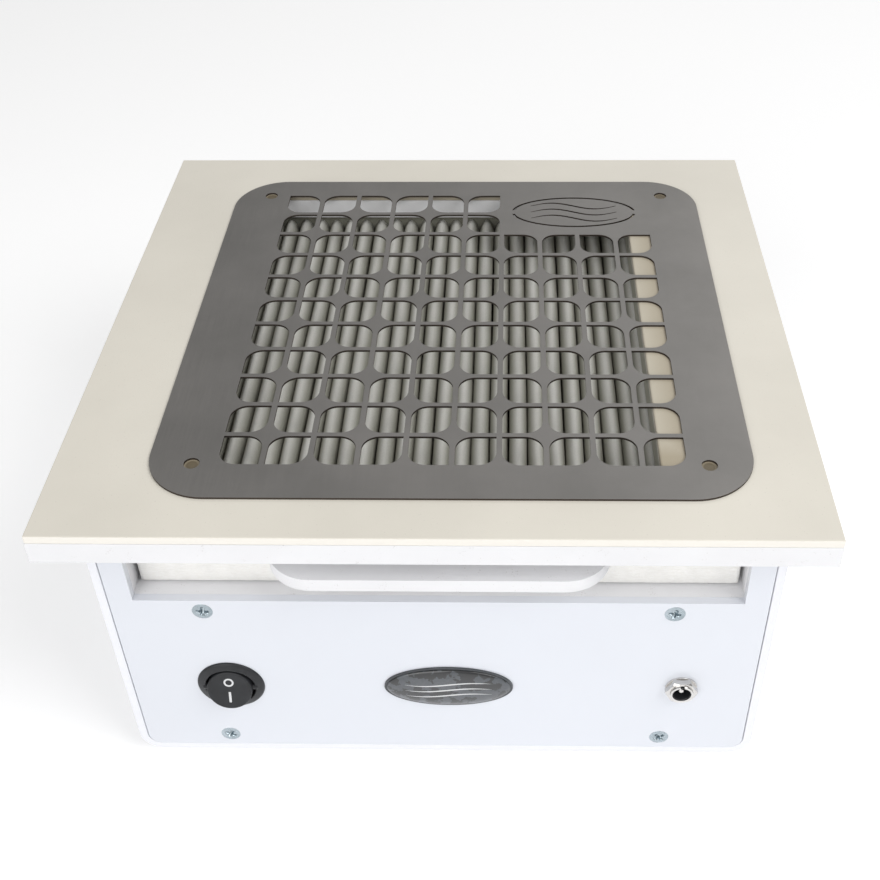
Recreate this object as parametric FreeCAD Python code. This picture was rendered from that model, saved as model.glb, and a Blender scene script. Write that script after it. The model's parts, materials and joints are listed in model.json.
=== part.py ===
import FreeCAD, Part
import math
import os

# Nail dust collector. Millimetres, +Z up, +Y to the back, X to the right.
# Origin: centre of the footprint, at the level the feet stand on.

# Hand rest plate: thin skin bonded on a foamed board
plate_width = 250.0
plate_depth = 240.0
skin_thick = 3.0
core_thick = 8.2
opening_width = 148.0
opening_depth = 177.0
opening_shift_x = -1.5
plate_overhang_side = 12.5
plate_overhang_front = 10.0

# Case
case_height = 110.0
wall_thick = 3.0
bend_radius = 8.0
panel_thick = 3.0
panel_side_gap = 0.35
base_thick = 12.0
shelf_thick = 10.0
foot_height = 3.0
foot_radius = 8.0
foot_inset = 20.0
foot_edge = 0.8
foot_recess = 2.0
foot_screw_head = 1.5
foot_screw_length = 13.0

# Filter channel and its mouth in the front panel
slot_width = 202.0
slot_height = 28.4
channel_side_gap = 0.3
back_stop_thick = 12.0

# Filter cassette
filter_side_gap = 1.6
filter_floor_gap = 0.4
filter_back_gap = 0.6
filter_setback = 8.4
filter_height = 26.5
frame_side_thick = 3.0
frame_end_thick = 4.0
pleat_count = 29
pleat_paper = 0.6
pleat_crest = 1.5
pleat_end_gap = 0.3
pleat_top_gap = 0.3
pleat_floor_gap = 1.0

# Pull tab on the cassette
tab_width = 111.1
tab_shift_x = 0.95
tab_thick = 5.0
tab_reach = 16.4
tab_rise = 14.0
tab_corner = 15.0

# Grille
grille_width = 196.5
grille_depth = 201.2
grille_thick = 0.8
grille_corner = 21.0
grille_shift_x = 4.35
grille_shift_y = -2.35
grille_hole_x_spacing = 167.4
grille_hole_y_spacing = 172.9
grille_hole_left_inset = 14.5
grille_hole_back_inset = 12.3
grille_hole_radius = 2.6
lattice_columns = 10
lattice_rows = 11
lattice_x_pitch = 15.4
lattice_y_pitch = 15.93
lattice_bar = 1.9
lattice_left_margin = 21.75
lattice_back_margin = 11.25
cell_round = 6.0
blank_columns = 4
blank_rows = 2
motif_length = 52.0
motif_width = 24.4
motif_line = 1.0
motif_bridge = 3.0
motif_shift_x = -0.7
motif_shift_y = 1.3
wave_length = 36.0
wave_height = 2.4
wave_spacing = 5.0
wave_steps = 24
wave_end_taper = 0.35

# Screws
screw_head_radius = 3.5
screw_head_height = 1.9
screw_radius = 1.6
screw_length = 14.0
screw_gap = 0.05
hole_extra = 1.0
recess_width = 0.9
recess_length = 3.6
recess_depth = 1.1
panel_screw_x = 78.6
base_screw_rise = 6.0
shelf_screw_drop = 5.2
top_screw_setback = 15.0
top_screw_length = 22.0

# Front panel fittings
fitting_rise = 35.0
switch_x = -74.3
badge_x = 2.5
jack_x = 84.0

# Rocker switch
switch_hole_radius = 10.0
switch_bezel_radius = 11.8
switch_bezel_thick = 2.0
switch_bezel_edge = 0.9
switch_bezel_slope = 1.2
switch_bore_radius = 8.8
switch_wall_gap = 0.1
switch_depth = 20.0
switch_bore_depth = 10.0
rocker_radius = 7.9
rocker_ball = 8.5
rocker_face = 3.0
rocker_back = 5.0
rocker_tilt = 14.0
rocker_pivot_front = 0.7
pivot_radius = 1.2
pivot_gap = 0.05
pivot_half_length = 9.5
pivot_end_gap = 0.2
mark_thick = 0.15
mark_ring_outer = 1.8
mark_ring_inner = 1.1
mark_ring_up = 3.4
mark_bar_width = 0.85
mark_bar_length = 4.4
mark_bar_down = 2.9
terminal_width = 4.8
terminal_thick = 0.8
terminal_length = 8.0
terminal_spacing = 7.0

# Badge
badge_length = 45.2
badge_width = 20.6
badge_base_thick = 0.6
badge_dome_height = 1.6
badge_rim = 0.8

# Power inlet
jack_barrel_radius = 4.0
jack_hole_gap = 0.1
jack_bore_radius = 3.3
jack_liner_radius = 3.0
jack_front = 3.4
jack_notch_width = 1.4
jack_notch_depth = 2.0
jack_liner_recess = 0.4
jack_floor_thick = 1.5
jack_flange_radius = 5.5
jack_flange_thick = 2.0
jack_rear_radius = 4.6
jack_rear_length = 10.0
jack_bore_depth = 12.0
jack_nut_flats = 10.0
jack_nut_thick = 2.2
jack_nut_chamfer = 0.7
jack_washer_radius = 5.6
jack_washer_thick = 0.6
jack_pin_radius = 1.05
jack_pin_recess = 1.5
jack_pin_round = 0.5
lug_length = 6.0
lug_width = 2.4
lug_thick = 0.6
lug_offset = 2.6

# Fan
fan_y = 10.0
shelf_hole_radius = 54.0
impeller_radius = 74.0
impeller_floor_gap = 10.0
impeller_top_gap = 8.6
impeller_plate = 2.0
eye_radius = 47.0
blade_count = 7
blade_thick = 1.6
blade_inner_radius = 40.0
blade_sweep = 55.0
blade_tip_inset = 0.6
blade_mid_share = 0.42
blade_belly = 1.3
ring_throat_radius = 43.0
ring_wall = 1.5
ring_flange_radius = 64.0
ring_overlap = 1.4
ring_lip = 5.0
can_radius = 26.0
can_wall = 1.5
can_height = 25.0
can_drop = 4.0
magnet_thick = 2.4
magnet_height = 18.0
magnet_rise = 1.0
stator_radius = 21.0
stator_slots = 9
stator_height = 13.0
stator_rise = 4.0
stator_yoke = 11.0
tooth_width = 4.0
tooth_tip = 1.6
tooth_gap = 1.6
winding_pad = 1.2
winding_end_gap = 0.4
hub_tube_radius = 7.0
hub_tube_gap = 1.5
bearing_radius = 5.0
bearing_height = 4.0
shaft_radius = 2.0
shaft_gap = 0.03
shaft_floor_gap = 0.5
motor_flange_radius = 38.0
motor_flange_thick = 3.0
motor_screw_circle = 31.0
motor_screw_length = 10.0

# Exhaust slots in the rear panel
exhaust_count = 13
exhaust_width = 5.0
exhaust_height = 40.0
exhaust_pitch = 12.0

# Wiring
lead_radius = 0.8
lead_bend = 6.0

# Values that follow from the sizes above
case_width = plate_width - 2.0 * plate_overhang_side
case_depth = plate_depth - 2.0 * plate_overhang_front
half_case = case_width / 2.0
half_inner = half_case - wall_thick
front_y = -case_depth / 2.0
back_y = case_depth / 2.0
front_inner_y = front_y + panel_thick
back_inner_y = back_y - panel_thick
case_floor = foot_height
inner_floor = case_floor + wall_thick
base_top = inner_floor + base_thick
plate_floor = case_floor + case_height
core_top = plate_floor + core_thick
skin_top = core_top + skin_thick
shelf_top = plate_floor - slot_height
shelf_floor = shelf_top - shelf_thick
half_slot = slot_width / 2.0
half_channel = half_slot + channel_side_gap
fitting_z = inner_floor + fitting_rise
filter_front_y = front_y + filter_setback
filter_back_y = back_inner_y - back_stop_thick - filter_back_gap
half_filter = half_channel - filter_side_gap
filter_floor = shelf_top + filter_floor_gap
filter_top = filter_floor + filter_height
tab_floor = shelf_top + tab_rise
tab_x0 = tab_shift_x - tab_width / 2.0
tab_x1 = tab_shift_x + tab_width / 2.0
grille_x0 = grille_shift_x - grille_width / 2.0
grille_y1 = grille_shift_y + grille_depth / 2.0
lattice_x0 = grille_x0 + lattice_left_margin
lattice_y1 = grille_y1 - lattice_back_margin
impeller_floor = base_top + impeller_floor_gap
impeller_top = shelf_floor - impeller_top_gap
motor_floor = base_top
can_floor = impeller_floor - can_drop
can_top = can_floor + can_height
pivot_y = front_y - rocker_pivot_front
bezel_front_y = front_y - switch_bezel_thick

X_AXIS = FreeCAD.Vector(1, 0, 0)
Y_AXIS = FreeCAD.Vector(0, 1, 0)
Z_AXIS = FreeCAD.Vector(0, 0, 1)


def vec(x, y, z):
    return FreeCAD.Vector(x, y, z)


def block(x0, x1, y0, y1, z0, z1):
    return Part.makeBox(x1 - x0, y1 - y0, z1 - z0, vec(x0, y0, z0))


def rod(radius, start, length, axis):
    return Part.makeCylinder(radius, length, start, axis)


def tube(outer, inner, start, length, axis):
    return rod(outer, start, length, axis).cut(rod(inner, start, length, axis))


def face_of(edges):
    return Part.Face(Part.Wire(edges))


def polygon(points):
    return Part.Face(Part.makePolygon(points + [points[0]]))


def one_solid(shape):
    return shape.removeSplitter().Solids[0]


def group(solids):
    return Part.makeCompound(solids)


def rounded_floor_block(y0, y1, z0, z1, half_width, radius):
    """Block across the case whose two lower edges along Y are rounded to sit in the bent shell."""
    body = block(-half_width, half_width, y0, y1, z0, z1)
    low = [e for e in body.Edges if e.BoundBox.ZMax < z0 + 0.01 and e.BoundBox.YLength > 0.5 * (y1 - y0)]
    return body.makeFillet(radius, low)


def countersink(point, axis):
    """Cone that a screw head fills; point is the centre of the head's outer face."""
    return Part.makeCone(screw_head_radius, screw_radius, screw_head_height, point, axis)


def screw(point, axis, length):
    """Countersunk screw with a cross recess; axis points from the head into the work."""
    body = countersink(point, axis).fuse(rod(screw_radius, point, length, axis))
    cross = Part.makeBox(recess_length, recess_width, recess_depth,
                         vec(-recess_length / 2.0, -recess_width / 2.0, 0))
    cross = cross.fuse(Part.makeBox(recess_width, recess_length, recess_depth,
                                    vec(-recess_width / 2.0, -recess_length / 2.0, 0)))
    cross.Placement = FreeCAD.Placement(point, FreeCAD.Rotation(Z_AXIS, axis))
    return one_solid(body.cut(cross))


def screw_hole(point, axis, length):
    """Countersunk pilot hole for one screw, with a small gap around the shank."""
    hole = rod(screw_radius + screw_gap, point, length + hole_extra, axis)
    return countersink(point, axis).fuse(hole)


def panel_screw_points(y):
    points = []
    for side in (-1.0, 1.0):
        points.append(vec(side * panel_screw_x, y, shelf_top - shelf_screw_drop))
        points.append(vec(side * panel_screw_x, y, inner_floor + base_screw_rise))
    return points


def top_screw_points():
    x = (half_channel + half_inner) / 2.0
    y = back_inner_y - top_screw_setback
    return [vec(sx * x, sy * y, core_top) for sx in (-1.0, 1.0) for sy in (-1.0, 1.0)]


def grille_hole_points(z):
    x0 = grille_x0 + grille_hole_left_inset
    y1 = grille_y1 - grille_hole_back_inset
    x1 = x0 + grille_hole_x_spacing
    y0 = y1 - grille_hole_y_spacing
    return [vec(x, y, z) for x in (x0, x1) for y in (y0, y1)]


def foot_points():
    x = half_case - foot_inset
    y = back_y - foot_inset
    return [vec(sx * x, sy * y, 0) for sx in (-1.0, 1.0) for sy in (-1.0, 1.0)]


def motor_screw_points():
    points = []
    for index in range(4):
        angle = math.radians(45.0 + 90.0 * index)
        points.append(vec(motor_screw_circle * math.cos(angle),
                          fan_y + motor_screw_circle * math.sin(angle),
                          motor_floor + motor_flange_thick))
    return points


# ---- hand rest and grille

def plate_layer(z0, z1):
    body = block(-plate_width / 2.0, plate_width / 2.0, -plate_depth / 2.0, plate_depth / 2.0, z0, z1)
    return body.cut(block(opening_shift_x - opening_width / 2.0, opening_shift_x + opening_width / 2.0,
                          -opening_depth / 2.0, opening_depth / 2.0, z0, z1))


def make_top_skin():
    return plate_layer(core_top, skin_top)


def make_top_core():
    body = plate_layer(plate_floor, core_top)
    for point in top_screw_points():
        body = body.cut(screw_hole(point, -Z_AXIS, top_screw_length))
    return body


def make_top_screws():
    return group([screw(p, -Z_AXIS, top_screw_length) for p in top_screw_points()])


def leaf_face(x0, y0, x1, y1, back_right, z):
    """Cell with two opposite corners rounded and the other two sharp."""
    r = min(cell_round, 0.45 * (x1 - x0), 0.45 * (y1 - y0))
    k = r * (1.0 - math.sqrt(0.5))
    if back_right:
        a, b, c = vec(x1, y1 - r, z), vec(x1 - k, y1 - k, z), vec(x1 - r, y1, z)
        d, e, f = vec(x0, y0 + r, z), vec(x0 + k, y0 + k, z), vec(x0 + r, y0, z)
        sharp_one, sharp_two = vec(x0, y1, z), vec(x1, y0, z)
    else:
        a, b, c = vec(x0 + r, y1, z), vec(x0 + k, y1 - k, z), vec(x0, y1 - r, z)
        d, e, f = vec(x1 - r, y0, z), vec(x1 - k, y0 + k, z), vec(x1, y0 + r, z)
        sharp_one, sharp_two = vec(x0, y0, z), vec(x1, y1, z)
    edges = [Part.Arc(a, b, c).toShape(),
             Part.LineSegment(c, sharp_one).toShape(),
             Part.LineSegment(sharp_one, d).toShape(),
             Part.Arc(d, e, f).toShape(),
             Part.LineSegment(f, sharp_two).toShape(),
             Part.LineSegment(sharp_two, a).toShape()]
    return face_of(edges)


def ellipse_face(length, width, centre):
    curve = Part.Ellipse(centre, length / 2.0, width / 2.0)
    return face_of([curve.toShape()])


def wave_slot(cx, cy, z):
    """One flowing line: a sine-like strip of constant width."""
    upper = []
    lower = []
    for index in range(wave_steps + 1):
        t = index / wave_steps
        x = cx + wave_length * (t - 0.5)
        y = cy + wave_height * math.sin(2.0 * math.pi * t)
        taper = wave_end_taper + (1.0 - wave_end_taper) * math.sin(math.pi * t)
        upper.append(vec(x, y + 0.5 * motif_line * taper, z))
        lower.append(vec(x, y - 0.5 * motif_line * taper, z))
    top_curve = Part.BSplineCurve()
    top_curve.interpolate(upper)
    low_curve = Part.BSplineCurve()
    low_curve.interpolate(lower[::-1])
    return face_of([top_curve.toShape(), Part.LineSegment(upper[-1], lower[-1]).toShape(),
                    low_curve.toShape(), Part.LineSegment(lower[0], upper[0]).toShape()])


def make_motif_cutter():
    """Oval outline with two bridges, holding three flowing air lines."""
    z = skin_top
    cx = lattice_x0 + (lattice_columns - blank_columns / 2.0) * lattice_x_pitch + motif_shift_x
    cy = lattice_y1 - blank_rows / 2.0 * lattice_y_pitch + motif_shift_y
    centre = vec(cx, cy, z)
    oval = ellipse_face(motif_length, motif_width, centre).extrude(vec(0, 0, grille_thick))
    inner = ellipse_face(motif_length - 2.0 * motif_line, motif_width - 2.0 * motif_line, centre)
    oval = oval.cut(inner.extrude(vec(0, 0, grille_thick)))
    oval = oval.cut(block(cx - motif_length, cx + motif_length, cy - motif_bridge / 2.0,
                          cy + motif_bridge / 2.0, z, z + grille_thick))
    cutters = list(oval.Solids)
    for row in (-1.0, 0.0, 1.0):
        cutters.append(wave_slot(cx, cy + row * wave_spacing, z).extrude(vec(0, 0, grille_thick)))
    return cutters


def make_grille():
    z = skin_top
    sheet = block(grille_x0, grille_x0 + grille_width, grille_y1 - grille_depth, grille_y1,
                  z, z + grille_thick)
    corners = [e for e in sheet.Edges if e.BoundBox.ZLength > 0.5 * grille_thick]
    sheet = sheet.makeFillet(grille_corner, corners)
    cutters = []
    for row in range(lattice_rows):
        for column in range(lattice_columns):
            if row < blank_rows and column >= lattice_columns - blank_columns:
                continue
            x0 = lattice_x0 + column * lattice_x_pitch + lattice_bar / 2.0
            y1 = lattice_y1 - row * lattice_y_pitch - lattice_bar / 2.0
            cell = leaf_face(x0, y1 - lattice_y_pitch + lattice_bar, x0 + lattice_x_pitch - lattice_bar, y1,
                             (row + column) % 2 == 0, z)
            cutters.append(cell.extrude(vec(0, 0, grille_thick)))
    for point in grille_hole_points(z):
        cutters.append(rod(grille_hole_radius, point, grille_thick, Z_AXIS))
    cutters += make_motif_cutter()
    return sheet.cut(Part.makeCompound(cutters))


# ---- case

def make_case_shell():
    outer = rounded_floor_block(front_y, back_y, case_floor, plate_floor, half_case, bend_radius)
    inner = rounded_floor_block(front_y, back_y, inner_floor, plate_floor, half_inner,
                                bend_radius - wall_thick)
    shell = outer.cut(inner)
    for point in foot_points():
        shell = shell.cut(rod(screw_radius + screw_gap, vec(point.x, point.y, case_floor), wall_thick,
                              Z_AXIS))
    return one_solid(shell)


def panel_blank(y0, y1):
    return rounded_floor_block(y0, y1, inner_floor, plate_floor, half_inner - panel_side_gap,
                               bend_radius - wall_thick)


def make_front_panel():
    panel = panel_blank(front_y, front_inner_y)
    panel = panel.cut(block(-half_slot, half_slot, front_y, front_inner_y, shelf_top, plate_floor))
    panel = panel.cut(rod(switch_hole_radius, vec(switch_x, front_y, fitting_z), panel_thick, Y_AXIS))
    panel = panel.cut(rod(jack_barrel_radius + jack_hole_gap, vec(jack_x, front_y, fitting_z),
                          panel_thick, Y_AXIS))
    for point in panel_screw_points(front_y):
        panel = panel.cut(screw_hole(point, Y_AXIS, screw_length))
    return panel


def make_rear_panel():
    panel = panel_blank(back_inner_y, back_y)
    z0 = (base_top + shelf_floor - exhaust_height) / 2.0
    for index in range(exhaust_count):
        x = (index - (exhaust_count - 1) / 2.0) * exhaust_pitch
        slot = block(x - exhaust_width / 2.0, x + exhaust_width / 2.0, back_inner_y, back_y,
                     z0, z0 + exhaust_height)
        ends = [e for e in slot.Edges if e.BoundBox.YLength > 0.5 * panel_thick]
        panel = panel.cut(slot.makeFillet(exhaust_width * 0.45, ends))
    for point in panel_screw_points(back_y):
        panel = panel.cut(screw_hole(point, -Y_AXIS, screw_length))
    return panel


def cut_panel_screws(board):
    for point in panel_screw_points(front_y):
        board = board.cut(screw_hole(point, Y_AXIS, screw_length))
    for point in panel_screw_points(back_y):
        board = board.cut(screw_hole(point, -Y_AXIS, screw_length))
    return board


def make_base_board():
    board = rounded_floor_block(front_inner_y, back_inner_y, inner_floor, base_top, half_inner,
                                bend_radius - wall_thick)
    board = cut_panel_screws(board)
    for point in foot_points():
        board = board.cut(rod(screw_radius + screw_gap, point, foot_recess + foot_screw_length, Z_AXIS))
    for point in motor_screw_points():
        board = board.cut(rod(screw_radius + screw_gap, point, motor_screw_length + hole_extra, -Z_AXIS))
    return board


def make_shelf_board():
    board = block(-half_inner, half_inner, front_inner_y, back_inner_y, shelf_floor, shelf_top)
    board = board.cut(rod(shelf_hole_radius, vec(0, fan_y, shelf_floor), shelf_thick, Z_AXIS))
    return cut_panel_screws(board)


def make_rail(side):
    x0 = half_channel if side > 0 else -half_inner
    rail = block(x0, x0 + half_inner - half_channel, front_inner_y, back_inner_y, shelf_top, plate_floor)
    for point in top_screw_points():
        rail = rail.cut(screw_hole(point, -Z_AXIS, top_screw_length))
    return rail


def make_back_stop():
    return block(-half_channel, half_channel, back_inner_y - back_stop_thick, back_inner_y,
                 shelf_top, plate_floor)


def make_front_screws():
    return group([screw(p, Y_AXIS, screw_length) for p in panel_screw_points(front_y)])


def make_rear_screws():
    return group([screw(p, -Y_AXIS, screw_length) for p in panel_screw_points(back_y)])


def make_feet():
    solids = []
    for point in foot_points():
        foot = rod(foot_radius, point, foot_height, Z_AXIS)
        rim = [e for e in foot.Edges if e.BoundBox.ZMax < 0.01]
        foot = foot.makeFillet(foot_edge, rim)
        foot = foot.cut(rod(screw_head_radius + screw_gap, point, foot_recess, Z_AXIS))
        foot = foot.cut(rod(screw_radius + screw_gap, point, foot_height, Z_AXIS))
        solids.append(foot)
    return group(solids)


def make_foot_screws():
    solids = []
    for point in foot_points():
        start = vec(point.x, point.y, foot_recess - foot_screw_head)
        head = rod(screw_head_radius, start, foot_screw_head, Z_AXIS)
        shank = rod(screw_radius, start, foot_screw_length, Z_AXIS)
        cross = block(point.x - recess_length / 2.0, point.x + recess_length / 2.0,
                      point.y - recess_width / 2.0, point.y + recess_width / 2.0,
                      start.z, start.z + recess_depth)
        solids.append(one_solid(head.fuse(shank).cut(cross)))
    return group(solids)


# ---- filter cassette

def make_filter_frame():
    frame = block(-half_filter, half_filter, filter_front_y, filter_back_y, filter_floor, filter_top)
    frame = frame.cut(block(-half_filter + frame_side_thick, half_filter - frame_side_thick,
                            filter_front_y + frame_end_thick, filter_back_y - frame_end_thick,
                            filter_floor, filter_top))
    frame = frame.cut(block(tab_x0, tab_x1, filter_front_y, filter_front_y + frame_end_thick,
                            tab_floor, tab_floor + tab_thick))
    return frame


def offset_line(points, distance):
    """Parallel copy of an open XZ polyline, mitred at its corners."""
    result = []
    count = len(points)
    for index in range(count):
        before = points[index] - points[index - 1] if index > 0 else points[1] - points[0]
        after = points[index + 1] - points[index] if index < count - 1 else before
        n1 = vec(-before.z, 0, before.x).normalize()
        n2 = vec(-after.z, 0, after.x).normalize()
        middle = (n1 + n2).normalize()
        result.append(points[index] + middle * (distance / max(middle.dot(n1), 0.2)))
    return result


def make_filter_media():
    """Folded paper: crests and valleys run from front to back."""
    half = half_filter - frame_side_thick - pleat_end_gap
    pitch = 2.0 * half / pleat_count
    low = filter_floor + pleat_floor_gap + pleat_paper
    high = filter_top - pleat_top_gap - pleat_paper
    line = []
    for index in range(pleat_count):
        x = -half + index * pitch
        line.append(vec(x, 0, low))
        line.append(vec(x + 0.5 * pleat_crest, 0, low))
        line.append(vec(x + 0.5 * pitch - 0.5 * pleat_crest, 0, high))
        line.append(vec(x + 0.5 * pitch + 0.5 * pleat_crest, 0, high))
        line.append(vec(x + pitch - 0.5 * pleat_crest, 0, low))
    line.append(vec(half, 0, low))
    outline = offset_line(line, pleat_paper / 2.0) + offset_line(line, -pleat_paper / 2.0)[::-1]
    y0 = filter_front_y + frame_end_thick
    y1 = filter_back_y - frame_end_thick
    placed = [vec(p.x, y0, p.z) for p in outline]
    return polygon(placed).extrude(vec(0, y1 - y0, 0))


def make_filter_tab():
    """Flat pull tab with rounded front corners, its tongue set through the front bar."""
    y0 = filter_front_y - tab_reach
    plate = block(tab_x0, tab_x1, y0, filter_front_y + frame_end_thick,
                  tab_floor, tab_floor + tab_thick)
    ends = [e for e in plate.Edges if e.BoundBox.ZLength > 0.5 * tab_thick and e.BoundBox.YMax < y0 + 0.01]
    return plate.makeFillet(min(tab_corner, tab_reach - 0.5), ends)


# ---- rocker switch

def make_switch_body():
    centre = vec(switch_x, bezel_front_y, fitting_z)
    bezel = Part.makeCone(switch_bezel_radius - switch_bezel_edge, switch_bezel_radius,
                          switch_bezel_slope, centre, Y_AXIS)
    rim = vec(switch_x, bezel_front_y + switch_bezel_slope, fitting_z)
    bezel = bezel.fuse(rod(switch_bezel_radius, rim, switch_bezel_thick - switch_bezel_slope, Y_AXIS))
    barrel = rod(switch_hole_radius - switch_wall_gap, centre, switch_bezel_thick + switch_depth, Y_AXIS)
    body = bezel.fuse(barrel).cut(rod(switch_bore_radius, centre, switch_bore_depth, Y_AXIS))
    reach = pivot_half_length + pivot_end_gap
    hole = rod(pivot_radius + pivot_gap, vec(switch_x - reach, pivot_y, fitting_z), 2.0 * reach, X_AXIS)
    return one_solid(body.cut(hole))


def tilt(shape):
    """Rest position: upper half pressed in, lower half standing out."""
    shape.rotate(vec(switch_x, pivot_y, fitting_z), X_AXIS, -rocker_tilt)
    return shape


def make_switch_rocker():
    pivot = vec(switch_x, pivot_y, fitting_z)
    ball = Part.makeSphere(rocker_ball, pivot)
    disc = rod(rocker_radius, vec(switch_x, pivot_y - rocker_face, fitting_z),
               rocker_face + rocker_back, Y_AXIS)
    rocker = disc.common(ball)
    rocker = rocker.fuse(rod(pivot_radius, vec(switch_x - pivot_half_length, pivot_y, fitting_z),
                             2.0 * pivot_half_length, X_AXIS))
    return one_solid(tilt(rocker))


def make_switch_marks():
    y = pivot_y - rocker_face - mark_thick
    ring = tube(mark_ring_outer, mark_ring_inner, vec(switch_x, y, fitting_z + mark_ring_up),
                mark_thick, Y_AXIS)
    z = fitting_z - mark_bar_down
    bar = block(switch_x - mark_bar_width / 2.0, switch_x + mark_bar_width / 2.0, y, y + mark_thick,
                z - mark_bar_length / 2.0, z + mark_bar_length / 2.0)
    return group([tilt(ring), tilt(bar)])


def switch_terminal_points():
    y = front_y + switch_depth
    return [vec(switch_x + side * terminal_spacing / 2.0, y, fitting_z) for side in (-1.0, 1.0)]


def make_switch_terminals():
    solids = []
    for p in switch_terminal_points():
        solids.append(block(p.x - terminal_thick / 2.0, p.x + terminal_thick / 2.0, p.y,
                            p.y + terminal_length, p.z - terminal_width / 2.0, p.z + terminal_width / 2.0))
    return group(solids)


# ---- badge

def oval_prism(length, width, y0, y1):
    curve = Part.Ellipse(vec(0, 0, 0), length / 2.0, width / 2.0)
    body = face_of([curve.toShape()]).extrude(vec(0, 0, y1 - y0))
    body.rotate(vec(0, 0, 0), X_AXIS, 90.0)
    body.translate(vec(badge_x, y1, fitting_z))
    return body


def make_badge_base():
    return oval_prism(badge_length, badge_width, front_y - badge_base_thick, front_y)


def make_badge_dome():
    """Clear domed drop: a shallow oval slice of a scaled sphere."""
    length = badge_length - 2.0 * badge_rim
    width = badge_width - 2.0 * badge_rim
    ball = Part.makeSphere(1.0)
    matrix = FreeCAD.Matrix()
    matrix.scale(length / 2.0, badge_dome_height, width / 2.0)
    dome = ball.transformGeometry(matrix)
    dome.translate(vec(badge_x, front_y - badge_base_thick, fitting_z))
    keep = block(badge_x - badge_length, badge_x + badge_length,
                 front_y - badge_base_thick - 2.0 * badge_dome_height, front_y - badge_base_thick,
                 fitting_z - badge_width, fitting_z + badge_width)
    return dome.common(keep)


# ---- power inlet

def make_jack_body():
    y0 = front_y - jack_front
    body = rod(jack_barrel_radius, vec(jack_x, y0, fitting_z), jack_front + panel_thick, Y_AXIS)
    body = body.fuse(rod(jack_flange_radius, vec(jack_x, front_inner_y, fitting_z), jack_flange_thick,
                         Y_AXIS))
    body = body.fuse(rod(jack_rear_radius, vec(jack_x, front_inner_y, fitting_z),
                         jack_flange_thick + jack_rear_length, Y_AXIS))
    body = body.cut(rod(jack_bore_radius, vec(jack_x, y0, fitting_z), jack_bore_depth, Y_AXIS))
    return one_solid(body.cut(block(jack_x - jack_notch_width / 2.0, jack_x + jack_notch_width / 2.0,
                                    y0, y0 + jack_notch_depth,
                                    fitting_z - jack_barrel_radius, fitting_z + jack_barrel_radius)))


def make_jack_liner():
    y0 = front_y - jack_front
    liner = rod(jack_bore_radius, vec(jack_x, y0 + jack_liner_recess, fitting_z),
                jack_bore_depth - jack_liner_recess, Y_AXIS)
    return liner.cut(rod(jack_liner_radius, vec(jack_x, y0, fitting_z), jack_bore_depth - jack_floor_thick,
                         Y_AXIS))


def make_jack_pin():
    y0 = front_y - jack_front + jack_pin_recess
    length = jack_bore_depth - jack_floor_thick - jack_pin_recess
    pin = rod(jack_pin_radius, vec(jack_x, y0, fitting_z), length, Y_AXIS)
    return pin.makeFillet(jack_pin_round, [e for e in pin.Edges if e.BoundBox.YMax < y0 + 0.01])


def make_jack_washer():
    return tube(jack_washer_radius, jack_barrel_radius + jack_hole_gap,
                vec(jack_x, front_y - jack_washer_thick, fitting_z), jack_washer_thick, Y_AXIS)


def make_jack_nut():
    y1 = front_y - jack_washer_thick
    y0 = y1 - jack_nut_thick
    reach = jack_nut_flats / math.sqrt(3.0)
    points = []
    for index in range(6):
        angle = math.radians(60.0 * index)
        points.append(vec(jack_x + reach * math.cos(angle), y0, fitting_z + reach * math.sin(angle)))
    nut = polygon(points).extrude(vec(0, jack_nut_thick, 0))
    rise = 0.5 * jack_nut_thick
    cone = Part.makeCone(reach - jack_nut_chamfer, reach + jack_nut_chamfer, rise,
                         vec(jack_x, y0, fitting_z), Y_AXIS)
    collar = rod(reach + jack_nut_chamfer, vec(jack_x, y0 + rise, fitting_z), jack_nut_thick - rise, Y_AXIS)
    nut = nut.common(cone.fuse(collar))
    return one_solid(nut.cut(rod(jack_barrel_radius + screw_gap, vec(jack_x, y0, fitting_z),
                                 jack_nut_thick, Y_AXIS)))


def jack_rear_y():
    return front_inner_y + jack_flange_thick + jack_rear_length


def make_jack_lugs():
    y = jack_rear_y()
    solids = []
    for side in (-1.0, 1.0):
        x = jack_x + side * lug_offset
        solids.append(block(x - lug_thick / 2.0, x + lug_thick / 2.0, y, y + lug_length,
                            fitting_z - lug_width / 2.0, fitting_z + lug_width / 2.0))
    return group(solids)


# ---- fan

def make_inlet_ring():
    """Bell mouth under the shelf that leads air into the impeller eye."""
    top = shelf_floor
    low = impeller_top - ring_overlap
    start = vec(0, fan_y, low)
    flange = tube(ring_flange_radius, ring_throat_radius, vec(0, fan_y, top - ring_wall), ring_wall, Z_AXIS)
    throat = tube(ring_throat_radius + ring_wall, ring_throat_radius, start, top - low, Z_AXIS)
    mouth = Part.makeCone(ring_throat_radius, ring_throat_radius + ring_lip, ring_lip,
                          vec(0, fan_y, top - ring_lip), Z_AXIS)
    collar = tube(ring_throat_radius + ring_lip + ring_wall, ring_throat_radius,
                  vec(0, fan_y, top - ring_lip), ring_lip, Z_AXIS)
    return one_solid(flange.fuse(throat).fuse(collar).cut(mouth))


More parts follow.
